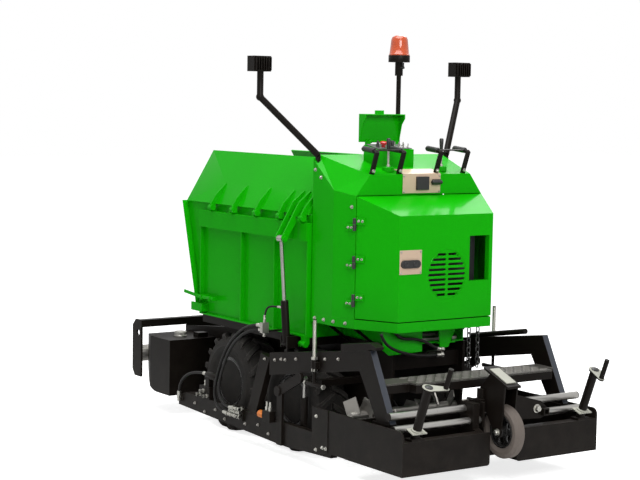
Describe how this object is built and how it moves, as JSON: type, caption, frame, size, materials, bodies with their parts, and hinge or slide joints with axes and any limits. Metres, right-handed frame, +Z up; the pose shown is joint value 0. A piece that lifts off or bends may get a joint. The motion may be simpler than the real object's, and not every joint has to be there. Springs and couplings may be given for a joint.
{
  "type": "asphalt paver",
  "caption": "Compact wheeled asphalt paver with a folding-wing hopper, faceted engine hood with rear controls, and a lifting, widening rear screed.",
  "frame": {"origin": "on the ground under the middle of the machine's length and width", "axes": "+X forward in the driving direction, +Y to the machine's left, +Z up"},
  "size_m": [3.1652, 1.51, 2.3303],
  "materials": {
    "green_paint": "satin",
    "black_steel": "satin",
    "tyre_rubber": "matte",
    "grey_rubber": "matte",
    "rim_black": "satin",
    "bright_steel": "polished",
    "worn_steel": "satin",
    "engine_alloy": "matte",
    "black_plastic": "matte",
    "amber_dome": "gloss"
  },
  "bodies": {
    "chassis": {"chassis_frame": "black_steel", "axle_front": "black_steel", "axle_rear": "black_steel", "hopper_left_wall": "green_paint", "hopper_right_wall": "green_paint", "hopper_rear_wall": "green_paint", "hopper_floor": "green_paint", "conveyor": "worn_steel", "conveyor_tunnel": "green_paint", "hood_base": "green_paint", "hood_left_panel": "green_paint", "hood_right_panel": "green_paint", "hood_deck": "green_paint", "door_hinges": "black_steel", "engine_block": "engine_alloy", "console_box": "green_paint", "joysticks": "black_plastic", "lever_guards": "black_steel", "work_lamp_left": "black_steel", "work_lamp_right": "black_steel", "beacon_pole": "black_steel", "beacon_dome": "amber_dome", "bumper": "black_steel", "tank_left": "black_steel", "tank_right": "black_steel"},
    "wheel_front_left": {"tyre_front_left": "tyre_rubber", "rim_front_left": "rim_black"},
    "wheel_front_right": {"tyre_front_right": "tyre_rubber", "rim_front_right": "rim_black"},
    "wheel_rear_left": {"tyre_rear_left": "tyre_rubber", "rim_rear_left": "rim_black"},
    "wheel_rear_right": {"tyre_rear_right": "tyre_rubber", "rim_rear_right": "rim_black"},
    "wing_body_left": {"wing_left": "green_paint"},
    "wing_barrel_body_left": {"wing_barrel_left": "black_steel"},
    "wing_rod_body_left": {"wing_rod_left": "bright_steel"},
    "wing_body_right": {"wing_right": "green_paint"},
    "wing_barrel_body_right": {"wing_barrel_right": "black_steel"},
    "wing_rod_body_right": {"wing_rod_right": "bright_steel"},
    "gate": {"hopper_gate": "green_paint"},
    "door": {"hood_door": "green_paint", "door_vent": "green_paint"},
    "lid": {"console_lid": "green_paint"},
    "rollers": {"push_rollers": "worn_steel"},
    "auger_screw": {"auger": "worn_steel"},
    "screed": {"tow_arm_left": "black_steel", "tow_arm_right": "black_steel", "screed_base": "black_steel", "guide_tubes": "bright_steel", "platform": "black_steel", "step_mesh": "black_steel"},
    "lift_barrel_pair": {"lift_barrels": "black_steel"},
    "lift_rod_pair": {"lift_rods": "bright_steel"},
    "extension_left": {"screed_extension_left": "black_steel", "crank_left": "black_steel"},
    "extension_right": {"screed_extension_right": "black_steel", "crank_right": "black_steel"},
    "support_fork": {"support_arm": "black_steel"},
    "support_wheel": {"support_tyre": "grey_rubber", "support_rim": "rim_black"}
  },
  "joints": [
    {"name": "wheel_front_left_roll", "type": "hinge", "parent": "chassis", "child": "wheel_front_left", "pos_m": [0.53258, 0.394, 0.292], "axis": [0, 1, 0], "continuous": true},
    {"name": "wheel_front_right_roll", "type": "hinge", "parent": "chassis", "child": "wheel_front_right", "pos_m": [0.53258, -0.394, 0.292], "axis": [0, 1, 0], "continuous": true},
    {"name": "wheel_rear_left_roll", "type": "hinge", "parent": "chassis", "child": "wheel_rear_left", "pos_m": [-0.13742, 0.394, 0.292], "axis": [0, 1, 0], "continuous": true},
    {"name": "wheel_rear_right_roll", "type": "hinge", "parent": "chassis", "child": "wheel_rear_right", "pos_m": [-0.13742, -0.394, 0.292], "axis": [0, 1, 0], "continuous": true},
    {"name": "wing_left_fold", "type": "hinge", "parent": "chassis", "child": "wing_body_left", "pos_m": [-0.14242, 0.5, 1.315], "axis": [-1, 0, 0], "range_deg": [0, 35]},
    {"name": "wing_left_cylinder_swing", "type": "hinge", "parent": "chassis", "child": "wing_barrel_body_left", "pos_m": [-0.14242, 0.53, 0.61], "axis": [-1, 0, 0], "range_deg": [-12, 4]},
    {"name": "wing_left_cylinder_stroke", "type": "slide", "parent": "wing_barrel_body_left", "child": "wing_rod_body_left", "axis": [0, 0.0761, 0.9971], "range_m": [-0.04, 0.01]},
    {"name": "wing_right_fold", "type": "hinge", "parent": "chassis", "child": "wing_body_right", "pos_m": [-0.14242, -0.5, 1.315], "axis": [1, 0, 0], "range_deg": [0, 35]},
    {"name": "wing_right_cylinder_swing", "type": "hinge", "parent": "chassis", "child": "wing_barrel_body_right", "pos_m": [-0.14242, -0.53, 0.61], "axis": [1, 0, 0], "range_deg": [-12, 4]},
    {"name": "wing_right_cylinder_stroke", "type": "slide", "parent": "wing_barrel_body_right", "child": "wing_rod_body_right", "axis": [0, -0.0761, 0.9971], "range_m": [-0.04, 0.01]},
    {"name": "gate_tip", "type": "hinge", "parent": "chassis", "child": "gate", "pos_m": [0.93474, 0, 0.7], "axis": [0, 1, 0], "range_deg": [0, 75]},
    {"name": "door_swing", "type": "hinge", "parent": "chassis", "child": "door", "pos_m": [-0.64041, 0.439, 1.1], "axis": [0, 0, -1], "range_deg": [0, 105]},
    {"name": "lid_close", "type": "hinge", "parent": "chassis", "child": "lid", "pos_m": [-0.37341, 0.08, 1.74], "axis": [0, -1, 0], "range_deg": [0, 88]},
    {"name": "roller_spin", "type": "hinge", "parent": "chassis", "child": "rollers", "pos_m": [1.53059, 0, 0.33], "axis": [0, 1, 0], "continuous": true},
    {"name": "auger_spin", "type": "hinge", "parent": "chassis", "child": "auger_screw", "pos_m": [-0.68741, 0, 0.29], "axis": [0, 1, 0], "continuous": true},
    {"name": "screed_lift", "type": "hinge", "parent": "chassis", "child": "screed", "pos_m": [0.88058, 0, 0.15], "axis": [0, 1, 0], "range_deg": [-2.5, 3]},
    {"name": "lift_cylinder_swing", "type": "hinge", "parent": "screed", "child": "lift_barrel_pair", "pos_m": [-0.33742, 0, 0.15], "axis": [0, 1, 0], "range_deg": [-4, 4]},
    {"name": "lift_cylinder_stroke", "type": "slide", "parent": "lift_barrel_pair", "child": "lift_rod_pair", "axis": [0, 0, 1], "range_m": [-0.08, 0.07]},
    {"name": "extension_left_slide", "type": "slide", "parent": "screed", "child": "extension_left", "axis": [0, 1, 0], "range_m": [0, 0.3]},
    {"name": "extension_right_slide", "type": "slide", "parent": "screed", "child": "extension_right", "axis": [0, -1, 0], "range_m": [0, 0.3]},
    {"name": "support_swing", "type": "hinge", "parent": "screed", "child": "support_fork", "pos_m": [-1.24941, 0, 0.47], "axis": [0, 1, 0], "range_deg": [0, 30]},
    {"name": "support_wheel_roll", "type": "hinge", "parent": "support_fork", "child": "support_wheel", "pos_m": [-1.37742, 0, 0.285], "axis": [0, 1, 0], "continuous": true}
  ],
  "couplings": [
    {"joint": "wing_left_cylinder_swing", "follows": "wing_left_fold", "ratio": -0.22404},
    {"joint": "wing_left_cylinder_stroke", "follows": "wing_left_fold", "m_per_rad": -0.037464},
    {"joint": "wing_right_cylinder_swing", "follows": "wing_right_fold", "ratio": -0.22404},
    {"joint": "wing_right_cylinder_stroke", "follows": "wing_right_fold", "m_per_rad": -0.037464},
    {"joint": "lift_cylinder_swing", "follows": "screed_lift", "ratio": -1},
    {"joint": "lift_cylinder_stroke", "follows": "screed_lift", "m_per_rad": -1.218}
  ]
}
